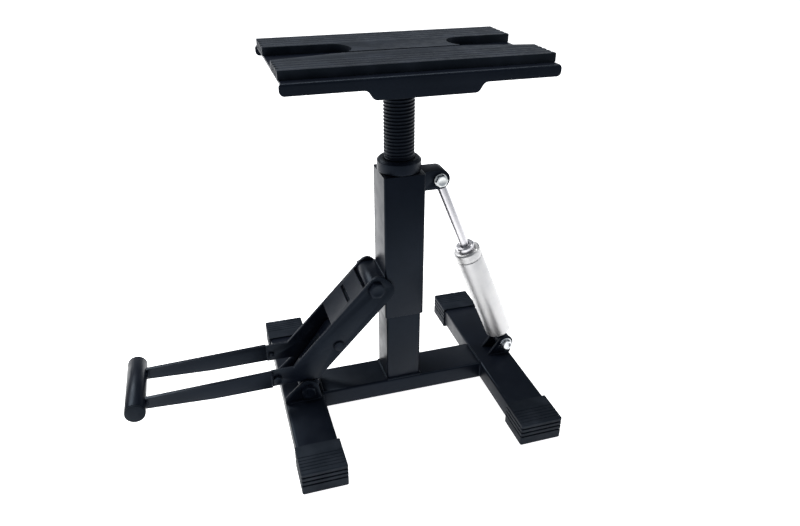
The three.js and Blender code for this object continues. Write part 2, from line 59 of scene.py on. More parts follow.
def centre(node):
    low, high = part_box(node)
    return (Vector(low) + Vector(high)) / 2


def low(node):
    return Vector(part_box(node)[0])


def high(node):
    return Vector(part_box(node)[1])


AXIS_X = centre("threaded_rod").x
DAMPER_FOOT = centre("lower_eye_bush")
DAMPER_HEAD = centre("upper_eye_bush")
DAMPER_LENGTH = (DAMPER_HEAD - DAMPER_FOOT).length
DECK = high("cross_beam").z
SIDES = (("near", -1), ("far", 1))

# ---- driving dimensions -------------------------------------------------------------------
THREAD_PITCH = 4 * MM
THREAD_DEPTH = 1.5 * MM
CUT_REACH = 0.9 * MM  # how far a cutter reaches past the faces that it enters

# platform plate and pad
PLATE_FOLD = 4 * MM
PLATE_EDGE = 0.5 * MM
PAD_FRONT_STEP = -36 * MM  # where the front ridge ends, along Y
PAD_REAR_STEP = 30 * MM
PAD_GROOVES = 4

# foot caps: side grooves by height, top grooves by distance from the closed end
CAP_GROOVE_HEIGHTS = (13 * MM, 19 * MM, 25 * MM)
CAP_GROOVE_DEPTH = 2.2 * MM
CAP_GROOVE_HALF = 1.3 * MM
CAP_TOP_GROOVES = 5
CAP_TOP_FIRST = 6 * MM
CAP_TOP_STEP = 5 * MM
CAP_CORNER = 1.8 * MM
CAP_ROUNDING = 1.4 * MM
CAP_FOOT = 1 * MM
CAP_WALL = 3.5 * MM
CAP_CLEARANCE = 0.2 * MM

# damper, in mm along its own axis from the lower eye
BARREL_RADIUS = 17.5
BARREL_WALL = 2.5
BARREL_BOTTOM = 18.7
GLAND_FROM_HEAD = 125
ROD_RADIUS = 6
ROD_BORE = 6.3
ROD_BOTTOM = 112
ROD_TO_EYE = 8.5

# weld beads
BEAD_PITCH = 2.4 * MM
BEAD_STEP = 0.4 * MM
BEAD_SIDES = 10
THICK_BEAD = 2.0 * MM
THIN_BEAD = 1.6 * MM
HEEL_WELD = (58.5 * MM, 79 * MM)
BAR_WELD = (62 * MM, 74 * MM)

# studio: the floor glows behind the stand, and the sky is palest at the horizon
FRONT_GLOW = 0.15
BACK_GLOW = 1.0
HORIZON_GLOW = 0.65
SKY_GLOW = 0.26
EYE = (AXIS_X - 0.21646, -0.71071, 0.5947)
AIM_DEGREES = (17.04, 28.56, 0.09)  # turn to the right, tilt down, roll
LENS = 30.31


# ---- materials ----------------------------------------------------------------------------
def new_material(name):
    material = bpy.data.materials.new(name)
    material.use_nodes = True
    nodes = material.node_tree.nodes
    return material, material.node_tree, nodes["Principled BSDF"]


def noise(tree, scale, detail=3.0, stretch=(1, 1, 1)):
    """Noise over the piece's own coordinates, in features per metre, stretched along an axis."""
    coords = tree.nodes.new("ShaderNodeTexCoord")
    mapping = tree.nodes.new("ShaderNodeMapping")
    mapping.inputs["Scale"].default_value = stretch
    texture = tree.nodes.new("ShaderNodeTexNoise")
    texture.inputs["Scale"].default_value = scale
    texture.inputs["Detail"].default_value = detail
    tree.links.new(coords.outputs["Object"], mapping.inputs["Vector"])
    tree.links.new(mapping.outputs["Vector"], texture.inputs["Vector"])
    return texture.outputs["Fac"]


def ranged(tree, value, low_out, high_out, low_in=0.3, high_in=0.7):
    node = tree.nodes.new("ShaderNodeMapRange")
    node.inputs["From Min"].default_value = low_in
    node.inputs["From Max"].default_value = high_in
    node.inputs["To Min"].default_value = low_out
    node.inputs["To Max"].default_value = high_out
    tree.links.new(value, node.inputs["Value"])
    return node.outputs["Result"]


def blended(tree, factor, first, second):
    """Mixes two colours, each a tuple or a socket."""
    node = tree.nodes.new("ShaderNodeMix")
    node.data_type = "RGBA"
    tree.links.new(factor, node.inputs["Factor"])
    for socket, value in ((node.inputs[6], first), (node.inputs[7], second)):
        if isinstance(value, tuple):
            socket.default_value = (*value, 1)
        else:
            tree.links.new(value, socket)
    return node.outputs[2]


def multiplied(tree, first, second):
    node = tree.nodes.new("ShaderNodeMath")
    node.operation = "MULTIPLY"
    tree.links.new(first, node.inputs[0])
    tree.links.new(second, node.inputs[1])
    return node.outputs[0]


def bumped(tree, shader, layers):
    """Chains bump nodes: each layer is (height socket, distance in metres, strength)."""
    previous = None
    for height, distance, strength in layers:
        node = tree.nodes.new("ShaderNodeBump")
        node.inputs["Distance"].default_value = distance
        node.inputs["Strength"].default_value = strength
        tree.links.new(height, node.inputs["Height"])
        if previous:
            tree.links.new(previous, node.inputs["Normal"])
        previous = node.outputs["Normal"]
    tree.links.new(previous, shader.inputs["Normal"])


def edge_mask(tree, radius):
    """About 1 on a sharp edge and 0 on a flat face."""
    bevel = tree.nodes.new("ShaderNodeBevel")
    bevel.samples = 4
    bevel.inputs["Radius"].default_value = radius
    geometry = tree.nodes.new("ShaderNodeNewGeometry")
    dot = tree.nodes.new("ShaderNodeVectorMath")
    dot.operation = "DOT_PRODUCT"
    tree.links.new(bevel.outputs["Normal"], dot.inputs[0])
    tree.links.new(geometry.outputs["Normal"], dot.inputs[1])
    return ranged(tree, dot.outputs["Value"], 1, 0, 0.75, 0.98)


def powder_coat(name, base, worn, rough):
    """Semi-gloss black powder coat with orange peel, faint handling marks and thin edges."""
    material, tree, shader = new_material(name)
    shader.inputs["Specular IOR Level"].default_value = 0.13
    shader.inputs["Specular Tint"].default_value = (0.6, 0.78, 1, 1)
    cloud = noise(tree, 18, 4)
    lighter = tuple(c * 1.5 for c in base)
    colour = blended(tree, ranged(tree, cloud, 0, 1), base, lighter)
    patches = ranged(tree, noise(tree, 160, 4), 0, 0.5, 0.4, 0.62)
    wear = multiplied(tree, edge_mask(tree, 0.0012), patches)
    tree.links.new(blended(tree, wear, colour, worn), shader.inputs["Base Color"])
    gloss = ranged(tree, noise(tree, 60, 5), rough - 0.05, rough + 0.07)
    tree.links.new(gloss, shader.inputs["Roughness"])
    bumped(tree, shader, [
        (noise(tree, 900, 2), 0.0003, 0.10),
        (noise(tree, 40, 3), 0.0008, 0.05),
    ])
    return material


def moulded_rubber(name, base, dusty, rough):
    """Matte moulded rubber: fine pitting and patches of dust."""
    material, tree, shader = new_material(name)
    shader.inputs["Specular IOR Level"].default_value = 0.14
    shader.inputs["Specular Tint"].default_value = (0.6, 0.78, 1, 1)
    dust = ranged(tree, noise(tree, 35, 6), 0, 0.8, 0.45, 0.75)
    tree.links.new(blended(tree, dust, base, dusty), shader.inputs["Base Color"])
    gloss = ranged(tree, noise(tree, 140, 4), rough - 0.08, rough + 0.08)
    tree.links.new(gloss, shader.inputs["Roughness"])
    bumped(tree, shader, [
        (noise(tree, 2600, 2), 0.0002, 0.25),
        (noise(tree, 260, 4), 0.0004, 0.08),
    ])
    return material


def bare_metal(name, base, tint, rough, stretch=(1, 1, 1), scale=300, relief=0.06):
    """Bare metal, with tool marks drawn out along the axes that stretch holds low."""
    material, tree, shader = new_material(name)
    shader.inputs["Metallic"].default_value = 1
    marks = noise(tree, scale, 4, stretch)
    colour = blended(tree, ranged(tree, noise(tree, 45, 5), 0, 1), base, tint)
    tree.links.new(colour, shader.inputs["Base Color"])
    tree.links.new(ranged(tree, marks, rough * 0.8, rough * 1.25), shader.inputs["Roughness"])
    bumped(tree, shader, [(marks, 0.0001, relief)])
    return material


COAT = powder_coat(
    "powder_coat_black", (0.0026, 0.0036, 0.0066), (0.045, 0.048, 0.054), 0.33)
THREAD_COAT = powder_coat(
    "oiled_black_thread", (0.0022, 0.003, 0.0055), (0.05, 0.053, 0.06), 0.36)
RUBBER = moulded_rubber("rubber_black", (0.004, 0.0055, 0.0085), (0.016, 0.019, 0.025), 0.6)
PAD_RUBBER = moulded_rubber("pad_rubber", (0.004, 0.0055, 0.0085), (0.014, 0.017, 0.024), 0.5)
ZINC = bare_metal("zinc_plate", (0.68, 0.7, 0.72), (0.56, 0.58, 0.57), 0.24, scale=900)
ALLOY = bare_metal(
    "turned_alloy", (0.56, 0.555, 0.55), (0.5, 0.5, 0.505), 0.42, (0.02, 0.02, 1), 3200, 0.12)
CHROME = bare_metal(
    "hard_chrome", (0.62, 0.61, 0.63), (0.56, 0.555, 0.575), 0.27, (0.05, 0.05, 1), 2500, 0.02)
BRONZE = bare_metal("bronze_bush", (0.55, 0.38, 0.18), (0.4, 0.28, 0.14), 0.35, scale=500)
FINISH = {
    "black_coat": COAT, "black_rubber": RUBBER, "zinc_steel": ZINC,
    "damper_alloy": ALLOY, "chrome_steel": CHROME, "bronze": BRONZE,
}


# ---- making pieces ------------------------------------------------------------------------
def add_piece(name, mesh_data, body, slot, material, nodes=(), matrix=None, crease=None):
    """Links a mesh (bmesh or mesh) as a piece of that body that stands for the CAD nodes."""
    if isinstance(mesh_data, bmesh.types.BMesh):
        bmesh.ops.recalc_face_normals(mesh_data, faces=mesh_data.faces)
        mesh = bpy.data.meshes.new(name)
        mesh_data.to_mesh(mesh)
        mesh_data.free()
    else:
        mesh = mesh_data
    mesh.materials.clear()
    mesh.materials.append(material)
    for polygon in mesh.polygons:
        polygon.use_smooth = True
    if crease:
        mesh.set_sharp_from_angle(angle=math.radians(crease))
    piece = bpy.data.objects.new(name, mesh)
    bpy.context.scene.collection.objects.link(piece)
    if matrix:
        piece.matrix_world = matrix
        bpy.context.view_layer.update()
    if nodes:
        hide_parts(*nodes)
    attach(piece, body)
    return piece


def bevelled(node, width, segments, material=None, weight=None):
    """The CAD shape with its sharp edges rounded over, as on bent and deburred steel."""
    source = frame["nodes"][node]
    mesh = bmesh.new()
    mesh.from_mesh(source.data)
    mesh.transform(source.matrix_world)
    bmesh.ops.remove_doubles(mesh, verts=mesh.verts, dist=1e-6)
    bmesh.ops.dissolve_limit(mesh, angle_limit=math.radians(0.4), verts=mesh.verts, edges=mesh.edges)
    if weight:
        layer = mesh.edges.layers.float.new("bevel_weight_edge")
        for edge in mesh.edges:
            sharp = len(edge.link_faces) == 2 and edge.calc_face_angle() > math.radians(30)
            edge[layer] = weight(*(v.co for v in edge.verts)) if sharp else 0
    finish = material or FINISH[SLOT[node]]
    piece = add_piece(f"{node}_skin", mesh, BODY[node], SLOT[node], finish, [node])
    edges = piece.modifiers.new("rounded_edges", "BEVEL")
    edges.width = width
    edges.segments = segments
    edges.limit_method = "WEIGHT" if weight else "ANGLE"
    edges.angle_limit = math.radians(30)
    edges.harden_normals = True
    return piece


def softened(profile, radius, steps=4):
    """Rounds the corners of an open [radius, height] profile."""
    points = [Vector(p) for p in profile]
    out = [points[0]]
    for before, corner, after in zip(points, points[1:], points[2:]):
        reach = min(radius, (before - corner).length * 0.45, (after - corner).length * 0.45)
        start = corner + (before - corner).normalized() * reach
        end = corner + (after - corner).normalized() * reach
        for i in range(steps + 1):
            t = i / steps
            out.append(start * (1 - t) ** 2 + corner * 2 * t * (1 - t) + end * t * t)
    out.append(points[-1])
    return [(p.x, p.y) for p in out]


def turned(profile, segments=96):
    """A profile in mm, [radius, height], turned round Z: open ends meet the axis, else it closes."""
    mesh = bmesh.new()
    rings = []
    for r, z in profile:
        count = segments if r > 1e-6 else 1
        angles = [math.tau * i / segments for i in range(count)]
        places = [(r * MM * math.cos(a), r * MM * math.sin(a), z * MM) for a in angles]
        rings.append([mesh.verts.new(place) for place in places])
    pairs = list(zip(rings, rings[1:]))
    if len(rings[0]) > 1:
        pairs.append((rings[-1], rings[0]))
    for first, second in pairs:
        if len(first) > 1 and len(second) > 1:
            ring_faces(mesh, first, second)
            continue
        tip, rim = (first[0], second) if len(first) == 1 else (second[0], first)
        for i in range(segments):
            mesh.faces.new((tip, rim[i], rim[(i + 1) % segments]))
    return mesh


def ring_faces(mesh, first, second):
    count = len(first)
    for i in range(count):
        j = (i + 1) % count
        mesh.faces.new((first[i], first[j], second[j], second[i]))


# ---- screw, ring --------------------------------------------------------------------------
def thread_radius(phase, crest, root):
    """Radius across one pitch: flat crest, sloping flank, rounded root."""
    phase %= 1
    if phase < 0.3:
        return crest
    if phase < 0.52:
        return crest + (root - crest) * (phase - 0.3) / 0.22
    if phase < 0.78:
        return root
    return root + (crest - root) * (phase - 0.78) / 0.22


def threaded_bar(crest, root, pitch, z0, z1, columns=64, per_pitch=12):
    """A real helix: the thread's radius depends on height and angle together."""
    mesh = bmesh.new()
    rows = int((z1 - z0) / pitch * per_pitch)
    rings = []
    for row in range(rows + 1):
        z = z0 + (z1 - z0) * row / rows
        ring = []
        fade = min(1, (z - z0) / pitch, (z1 - z) / pitch + 1)
        for column in range(columns):
            angle = math.tau * column / columns
            r = thread_radius(z / pitch - column / columns, crest, root)
            r = root + (r - root) * max(0, fade)
            ring.append(mesh.verts.new((r * math.cos(angle), r * math.sin(angle), z)))
        rings.append(ring)
    for first, second in zip(rings, rings[1:]):
        ring_faces(mesh, first, second)
    mesh.faces.new(rings[0][::-1])
    mesh.faces.new(rings[-1])
    return mesh


def build_screw():
    bottom, top = low("threaded_rod").z, high("threaded_rod").z
    radius = (high("threaded_rod").x - low("threaded_rod").x) / 2
    mesh = threaded_bar(radius, radius - THREAD_DEPTH, THREAD_PITCH, bottom, top - 0.1 * MM)
    add_piece("screw_with_thread", mesh, "screw", "black_coat", THREAD_COAT, ["threaded_rod"],
              Matrix.Translation((AXIS_X, 0, 0)))
    z0, z1 = low("lock_ring").z / MM, high("lock_ring").z / MM
    outer = (high("lock_ring").x - low("lock_ring").x) / 2 / MM
    bore = radius / MM + 0.6
    profile = softened([
        (bore, z0), (outer - 1, z0), (outer, z0 + 1), (outer, z1 - 3), (outer - 3, z1), (bore + 1, z1),
    ], 0.5)
    profile.append((bore, z1 - 1))
    add_piece("lock_ring_turned", turned(profile), "ring", "black_coat", COAT, ["lock_ring"],
              Matrix.Translation((AXIS_X, 0, 0)), crease=40)


# ---- platform -----------------------------------------------------------------------------
def build_platform_plate():
    """Folded plate: a wide bend along the two long edges, small ones elsewhere."""
    top, side = high("platform_plate").z, high("platform_plate").y

    def weight(a, b):
        on_top = max(abs(a.z - top), abs(b.z - top)) < 1e-5
        on_side = max(abs(abs(a.y) - side), abs(abs(b.y) - side)) < 1e-5
        return 1.0 if on_top and on_side else PLATE_EDGE / PLATE_FOLD

    bevelled("platform_plate", PLATE_FOLD, 5, weight=weight)


def groove_cutter(x0, x1, y, top, half, depth):
    """A prism along X that cuts a groove with sloping sides into a top face."""
    mesh = bmesh.new()
    wide, narrow = half * 1.15, half * 0.35
    section = ((-wide, 0.2 * depth), (wide, 0.2 * depth), (narrow, -depth), (-narrow, -depth))
    ends = [[mesh.verts.new((x, y + dy, top + dz)) for dy, dz in section] for x in (x0, x1)]
    ring_faces(mesh, *ends)
    mesh.faces.new(ends[0][::-1])
    mesh.faces.new(ends[1])
    return mesh


def notch_cutter(x, y, z0, z1, half, depth):
    """A vertical wedge that notches an end face at x."""
    mesh = bmesh.new()
    outward = math.copysign(0.5 * depth, x - AXIS_X)
    plan = ((x + outward, y - 1.5 * half), (x + outward, y + 1.5 * half), (x - 2 * outward, y))
    rings = [[mesh.verts.new((px, py, z)) for px, py in plan] for z in (z0, z1)]
    ring_faces(mesh, *rings)
    mesh.faces.new(rings[0][::-1])
    mesh.faces.new(rings[1])
    return mesh


def build_pad():
    """Moulded pad: four fine grooves along each ridge, each ending in a notch."""
    lower, upper = low("rubber_pad"), high("rubber_pad")
    grooves, notches = [], []
    left, right = lower.x - CUT_REACH, upper.x + CUT_REACH
    bottom, top = lower.z - CUT_REACH, upper.z + CUT_REACH
    for start, end in ((-upper.y, PAD_FRONT_STEP), (PAD_REAR_STEP, upper.y)):
        for i in range(PAD_GROOVES):
            y = start + (end - start) * (i + 1) / (PAD_GROOVES + 1)
            grooves.append(groove_cutter(left, right, y, upper.z, 0.5 * MM, 0.4 * MM))
            for x in (lower.x, upper.x):
                notches.append(notch_cutter(x, y, bottom, top, 2 * MM, 4.4 * MM))
    piece = bevelled("rubber_pad", 0.6 * MM, 3, PAD_RUBBER)
    carve(piece, grooves)
    carve(piece, notches)


# ---- foot caps ----------------------------------------------------------------------------
def smoothstep(t):
    t = max(0.0, min(1.0, t))
    return t * t * (3 - 2 * t)


def cap_inset(z, height):
    """How far the side walls stand in at height z: grooves, rounded top and a small foot chamfer."""
    inset = 0.0
    for groove in CAP_GROOVE_HEIGHTS:
        fill = smoothstep(1.4 * (1 - abs(z - groove) / CAP_GROOVE_HALF))
        inset = max(inset, CAP_GROOVE_DEPTH * fill)
    if z > height - CAP_ROUNDING:
        rise = z - (height - CAP_ROUNDING)
        inset += CAP_ROUNDING - math.sqrt(max(0, CAP_ROUNDING ** 2 - rise ** 2))
    if z < CAP_FOOT:
        inset += 0.6 * (CAP_FOOT - z)
    return inset


def cap_outline(x0, x1, y_inner, y_end, inset, side):
    """Plan outline, open end first, with the two outer corners rounded."""
    left, right = x0 + inset, x1 - inset
    end = y_end - side * inset
    corner_y = end - side * CAP_CORNER
    halfway = y_inner + (end - y_inner) * 0.5
    points = [(left, y_inner), (left, halfway)]
    for corner_x, start in ((left + CAP_CORNER, math.pi), (right - CAP_CORNER, math.pi / 2)):
        for i in range(7):
            angle = start - math.pi / 2 * i / 6
            points.append((corner_x + CAP_CORNER * math.cos(angle),
                           corner_y + side * CAP_CORNER * math.sin(angle)))
    points += [(right, halfway), (right, y_inner)]
    return points


def cap_levels(height):
    """Heights of the cap's outlines, close together where the grooves and the rounding are."""
    levels = [0, 0.4 * MM, 1 * MM]
    levels += [(1.6 + 0.3 * i) * MM for i in range(92)]
    return levels + [height - t * MM for t in (1.6, 1.1, 0.7, 0.4, 0.15, 0)]


def cap_cutters(node, y_inner, y_end, side):
    """The pocket that takes the tube's end, and the grooves across the top."""
    tube = "left_foot_tube" if "left" in node else "right_foot_tube"
    y0, y1 = sorted((y_inner - side * 5 * MM, y_end - side * CAP_WALL))
    cutters = [box_cutter(
        Vector((low(tube).x - CAP_CLEARANCE, y0, low(tube).z - CAP_CLEARANCE)),
        Vector((high(tube).x + CAP_CLEARANCE, y1, high(tube).z + CAP_CLEARANCE)),
    )]
    left, right, top = low(node).x - CUT_REACH, high(node).x + CUT_REACH, high(node).z
    for i in range(CAP_TOP_GROOVES):
        y = y_end - side * (CAP_TOP_FIRST + CAP_TOP_STEP * i)
        cutters.append(groove_cutter(left, right, y, top, 0.9 * MM, 0.6 * MM))
    return cutters


def build_foot_cap(node, side):
    """Rubber cap: the side points to its closed end, +1 for +Y."""
    lower, upper = low(node), high(node)
    y_end, y_inner = (upper.y, lower.y) if side > 0 else (lower.y, upper.y)
    mesh = bmesh.new()
    loops = []
    for z in cap_levels(upper.z):
        inset = cap_inset(z, upper.z)
        outline = cap_outline(lower.x, upper.x, y_inner, y_end, inset, side)
        loops.append([mesh.verts.new((x, y, z)) for x, y in outline])
    for first, second in zip(loops, loops[1:]):
        ring_faces(mesh, first, second)
    mesh.faces.new(loops[0][::-1])
    mesh.faces.new(loops[-1])
    piece = add_piece(f"{node}_ribbed", mesh, "base", "black_rubber", RUBBER, [node], crease=40)
    carve(piece, cap_cutters(node, y_inner, y_end, side))


def box_cutter(corner_low, corner_high):
    mesh = bmesh.new()
    bmesh.ops.create_cube(mesh, size=1)
    size, middle = corner_high - corner_low, (corner_high + corner_low) / 2
    mesh.transform(Matrix.Translation(middle) @ Matrix.Diagonal((*size, 1)))
    return mesh


def carve(piece, cutters):
    """Cuts closed shapes out of a piece, ahead of its other modifiers, and keeps the result."""
    whole = joined([(cutter, Matrix.Identity(4)) for cutter in cutters])
    bmesh.ops.recalc_face_normals(whole, faces=whole.faces)
    mesh = bpy.data.meshes.new("cutter")
    whole.to_mesh(mesh)
    whole.free()
    cutter = bpy.data.objects.new("cutter", mesh)
    bpy.context.scene.collection.objects.link(cutter)
    bare = bpy.data.objects.new("bare", piece.data)
    bpy.context.scene.collection.objects.link(bare)
    cut = bare.modifiers.new("cut", "BOOLEAN")
    cut.operation = "DIFFERENCE"
    cut.object = cutter
    bpy.context.view_layer.update()
    evaluated = bare.evaluated_get(bpy.context.evaluated_depsgraph_get())
    piece.data = bpy.data.meshes.new_from_object(evaluated)
    bpy.data.objects.remove(bare)
    bpy.data.objects.remove(cutter)
    bpy.data.meshes.remove(mesh)


# ---- fasteners ----------------------------------------------------------------------------
def hexagon_radius(angle, flats):
    return flats / 2 / math.cos((angle + math.pi / 6) % (math.pi / 3) - math.pi / 6)


def hex_solid(flats, height, both=False, hole=0.0, dish=0.0):
    """A hexagon whose corners are turned off, seat at z 0, as on a real bolt head or nut."""
    mesh = bmesh.new()
    count = 72
    angles = [math.tau * i / count for i in range(count)]
    slope = math.tan(math.radians(28))

    def drop(a):
        return (hexagon_radius(a, flats) - flats / 2 * 0.97) * slope

    def hexagon(height_at):
        return [(hexagon_radius(a, flats), height_at(a)) for a in angles]

    def circle(radius, z):
        return [(radius, z)] * count

    sections = []
    if both:
        sections.append(circle(flats / 2 * 0.95, 0))
        sections.append(hexagon(drop))
    else:
        sections.append(hexagon(lambda a: 0))
    sections.append(hexagon(lambda a: height - drop(a)))
    sections.append(circle(flats / 2 * 0.95, height))
    if dish:
        sections += [circle(flats / 2 * 0.72, height), circle(flats / 2 * 0.62, height - dish)]
    if hole:
        sections += [circle(hole + 0.5 * MM, height), circle(hole, height - 0.5 * MM), circle(hole, 0)]
    rings = [[mesh.verts.new((r * math.cos(a), r * math.sin(a), z)) for a, (r, z) in zip(angles, section)]
             for section in sections]
    for first, second in zip(rings, rings[1:]):
        ring_faces(mesh, first, second)
    if hole:
        ring_faces(mesh, rings[-1], rings[0])
    else:
        mesh.faces.new(rings[0][::-1])
        mesh.faces.new(rings[-1])
    return mesh


def joined(parts):
    """One bmesh from several (bmesh, matrix) pairs."""
    whole = bmesh.new()
    for part, matrix in parts:
        part.transform(matrix)
        mesh = bpy.data.meshes.new("part")
        part.to_mesh(mesh)
        part.free()
        whole.from_mesh(mesh)
        bpy.data.meshes.remove(mesh)
    return whole


def along_y(x, y, z, direction):
    """Turns +Z to point along +Y or -Y and moves the origin to x, y, z."""
    return Matrix.Translation((x, y, z)) @ Matrix.Rotation(-direction * math.pi / 2, 4, "X")


def build_bolt(node, flats, head_height, shank, spin=0.0):
    """A hex bolt along Y: dished head on the near side, rolled thread on the far end."""
    middle, near, far = centre(node), low(node).y, high(node).y
    seat = near + head_height
    head = hex_solid(flats, head_height, dish=0.4 * MM)
    stud = threaded_bar(shank, shank * 0.88, 1.25 * MM, 0, 12 * MM, 32, 8)
    length = far - seat - 11 * MM
    plain = turned([(0, 0), (shank / MM, 0), (shank / MM, length / MM), (0, length / MM)], 32)
    turn = Matrix.Rotation(spin, 4, "Z")
    mesh = joined([
        (head, along_y(middle.x, seat, middle.z, -1) @ turn),
        (plain, along_y(middle.x, seat - 0.2 * MM, middle.z, 1)),
        (stud, along_y(middle.x, far - 12 * MM, middle.z, 1)),
    ])
    add_piece(f"{node}_hex", mesh, BODY[node], SLOT[node], FINISH[SLOT[node]], [node], crease=32)


def build_nut(node, flats, spin=0.0):
    middle, near, far = centre(node), low(node).y, high(node).y
    mesh = hex_solid(flats, far - near, both=True, hole=flats * 0.31)
    mesh.transform(along_y(middle.x, near, middle.z, 1) @ Matrix.Rotation(spin, 4, "Z"))
    add_piece(f"{node}_hex", mesh, BODY[node], SLOT[node], FINISH[SLOT[node]], [node], crease=32)


def build_washer(node):
    middle, near, far = centre(node), low(node).y, high(node).y
    outer = (high(node).x - low(node).x) / 2 / MM
    thick = (far - near) / MM
    profile = softened([(4.2, 0), (outer, 0), (outer, thick), (4.2, thick)], 0.35)
    mesh = turned(profile, 64)
    mesh.transform(along_y(middle.x, near, middle.z, 1))
    add_piece(f"{node}_turned", mesh, BODY[node], SLOT[node], ZINC, [node], crease=40)


def build_fasteners():
    tilt = math.atan2(DAMPER_HEAD.x - DAMPER_FOOT.x, DAMPER_HEAD.z - DAMPER_FOOT.z)
    build_bolt("damper_upper_bolt", 13 * MM, 5.3 * MM, 4 * MM, tilt)
    build_bolt("damper_lower_bolt", 13 * MM, 5.3 * MM, 4 * MM, 0.3)
    build_bolt("link_pivot_bolt", 16 * MM, 6 * MM, 5 * MM, 0.15)
    build_bolt("lever_pivot_bolt", 18 * MM, 6 * MM, 6 * MM, 0.4)
    build_nut("damper_upper_nut", 13 * MM, tilt)
    build_nut("damper_lower_nut", 13 * MM, 0.2)
    build_nut("link_pivot_nut", 16 * MM, 0.5)
    build_nut("lever_pivot_nut", 18 * MM, 0.1)
    for node in ("damper_upper_washer_near", "damper_upper_washer_far", "damper_lower_washer"):
        build_washer(node)


# ---- damper -------------------------------------------------------------------------------
def barrel_profile(mouth):
    outer, inner, floor = BARREL_RADIUS, BARREL_RADIUS - BARREL_WALL, BARREL_BOTTOM
    return softened([
        (0, floor), (outer - 1.5, floor), (outer, floor + 1.8), (outer, mouth - 0.6),
        (outer - 0.6, mouth), (inner, mouth), (inner, floor + 4), (0, floor + 4),
    ], 0.6)


def gland_ring_profile(mouth):
    outer, inner = BARREL_RADIUS, BARREL_RADIUS - BARREL_WALL - 0.3
    return softened([
        (ROD_BORE, mouth - 8), (inner, mouth - 8), (inner, mouth + 0.3), (outer - 0.5, mouth + 0.3),
        (outer, mouth + 0.8), (outer, mouth + 11), (outer - 2, mouth + 13), (ROD_BORE + 0.2, mouth + 13),
    ], 0.5)


def gland_nut_profile(mouth):
    return softened([
        (ROD_BORE, mouth + 13.3), (12, mouth + 13.3), (12, mouth + 18.8), (10.8, mouth + 20.5),
        (ROD_BORE + 0.2, mouth + 20.5),
    ], 0.5)


def rod_profile(length):
    top = length - ROD_TO_EYE
    return softened([(0, ROD_BOTTOM), (ROD_RADIUS, ROD_BOTTOM), (ROD_RADIUS, top), (0, top)], 0.6)


def build_damper():
    """Turned parts on the damper's own axis, from the lower eye up to the upper eye."""
    direction = (DAMPER_HEAD - DAMPER_FOOT).normalized()
    tilt = math.atan2(direction.x, direction.z)
    place = Matrix.Translation(DAMPER_FOOT) @ Matrix.Rotation(tilt, 4, "Y")
    length = DAMPER_LENGTH / MM
    mouth = length - GLAND_FROM_HEAD
    for name, profile, node in (
        ("damper_barrel", barrel_profile(mouth), "damper_body"),
        ("gland_ring_turned", gland_ring_profile(mouth), "damper_gland_ring"),
        ("gland_nut_turned", gland_nut_profile(mouth), "damper_gland_nut"),
        ("damper_rod_ground", rod_profile(length), "damper_rod"),
    ):
        slot = SLOT[node]
        add_piece(name, turned(profile), BODY[node], slot, FINISH[slot], [node], place, crease=40)


# ---- weld beads ---------------------------------------------------------------------------
def bead_stations(points, closed):
    """Points BEAD_STEP apart along the path, each with its direction and the distance travelled."""
    stations = []
    travelled = 0.0
    for start, end in zip(points, points[1:]):
        steps = max(2, int((end - start).length / BEAD_STEP))
        for i in range(steps):
            stations.append((start.lerp(end, i / steps), (end - start).normalized(), travelled))
            travelled += (end - start).length / steps
    if not closed:
        stations.append((points[-1], (points[-1] - points[-2]).normalized(), travelled))
    return stations, travelled


def bead(name, path, radius, body, closed=False):
    """A weld bead: overlapping ripples along a path, half sunk in the joint."""
    rng = random.Random(SEED + len(name))
    points = [Vector(p) for p in path]
    if closed:
        points.append(points[0])
    stations, total = bead_stations(points, closed)
    mesh = bmesh.new()
    rings = []
    wobble = [rng.uniform(0.92, 1.08) for _ in range(int(total / BEAD_PITCH) + 2)]
    for point, tangent, distance in stations:
        phase = distance / BEAD_PITCH
        swell = 0.8 + 0.2 * math.sqrt(1 - (phase % 1)) * wobble[int(phase)]
        if not closed:
            swell *= min(1, 0.35 + distance / (3 * radius), 0.35 + (total - distance) / (3 * radius))
        side = tangent.orthogonal().normalized()
        up = tangent.cross(side)
        angles = [math.tau * k / BEAD_SIDES for k in range(BEAD_SIDES)]
        offsets = [side * math.cos(a) + up * math.sin(a) for a in angles]
        rings.append([mesh.verts.new(point + offset * radius * swell) for offset in offsets])
    for first, second in zip(rings, rings[1:]):
        ring_faces(mesh, first, second)
    if closed:
        ring_faces(mesh, rings[-1], rings[0])
    else:
        mesh.faces.new(rings[0][::-1])
        mesh.faces.new(rings[-1])
    add_piece(name, mesh, body, "black_coat", COAT)


def circle_path(x, y, z, radius, count=48):
    angles = [math.tau * i / count for i in range(count)]
    return [(x + radius * math.cos(a), y + radius * math.sin(a), z) for a in angles]


def outer_face(node, side):
    """The node's Y face that looks away from the stand's middle plane."""
    return high(node).y if side > 0 else low(node).y


def weld_base():
    post_low, post_high = low("inner_post"), high("inner_post")
    lx, hx, hy = post_low.x, post_high.x, post_high.y
    bead("weld_post_foot", [(lx, -hy, DECK), (hx, -hy, DECK), (hx, hy, DECK), (lx, hy, DECK)],
         THICK_BEAD, "base", closed=True)
    beam_low, beam_high = low("cross_beam"), high("cross_beam")
    for name, x in (("left", beam_low.x), ("right", beam_high.x)):
        bead(f"weld_beam_{name}", [(x, -beam_high.y + 1 * MM, DECK), (x, beam_high.y - 1 * MM, DECK)],
             THIN_BEAD, "base")
        for label, side in SIDES:
            y = side * beam_high.y
            bead(f"weld_beam_{name}_{label}", [(x, y, 6 * MM), (x, y, DECK - 2 * MM)], THIN_BEAD, "base")


